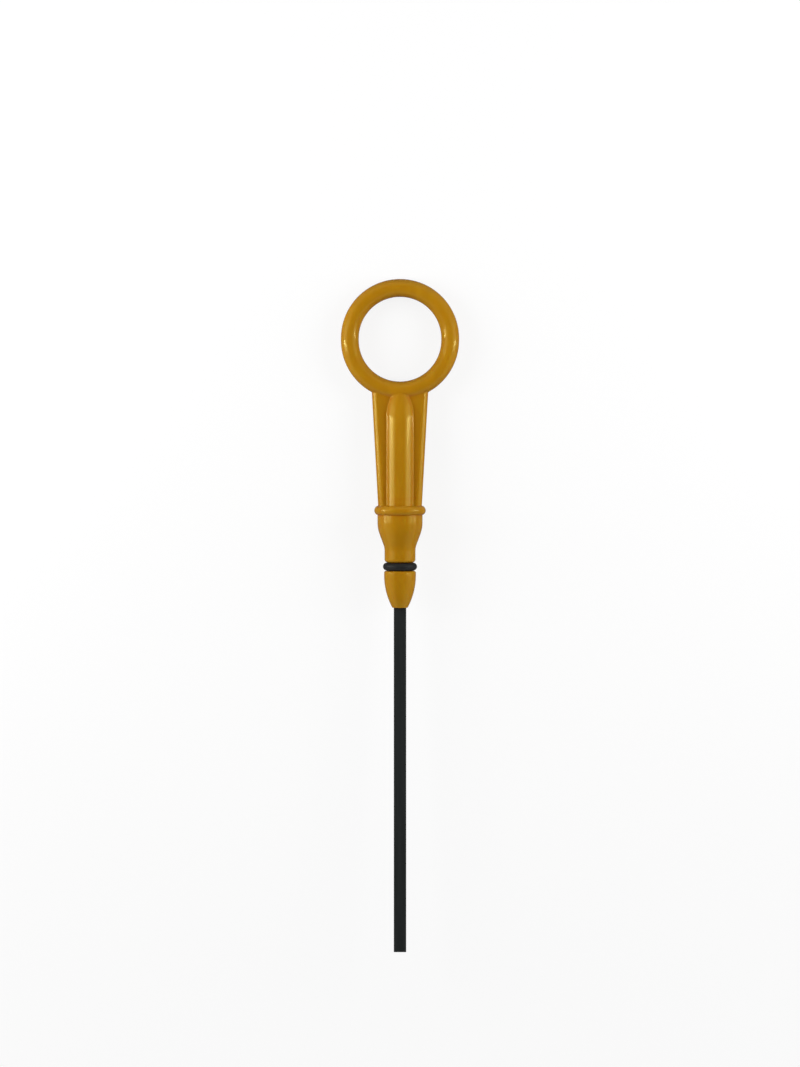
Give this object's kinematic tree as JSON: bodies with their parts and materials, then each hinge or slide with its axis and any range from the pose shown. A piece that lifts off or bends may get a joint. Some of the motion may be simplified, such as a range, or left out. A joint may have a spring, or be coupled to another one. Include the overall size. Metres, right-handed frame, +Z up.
{
  "type": "engine oil dipstick",
  "caption": "Engine oil dipstick with a moulded finger-ring handle, a rubber seal ring above its nose and a flat blade that dips into the sump, lying on its back.",
  "frame": {"origin": "on the surface that the stick lies on, under the middle of its length and width", "axes": "+Z up and out of the front of the handle, +Y along the surface from the blade's tip towards the finger ring, +X to the right"},
  "size_m": [0.036, 0.2053, 0.0177],
  "materials": {
    "handle_plastic": "moulded, glossy golden yellow",
    "seal_rubber": "matt black",
    "blade_nylon": "satin black"
  },
  "bodies": {
    "root": {"pull_handle": "handle_plastic", "seal_ring": "seal_rubber", "blade": "blade_nylon"}
  },
  "joints": []
}
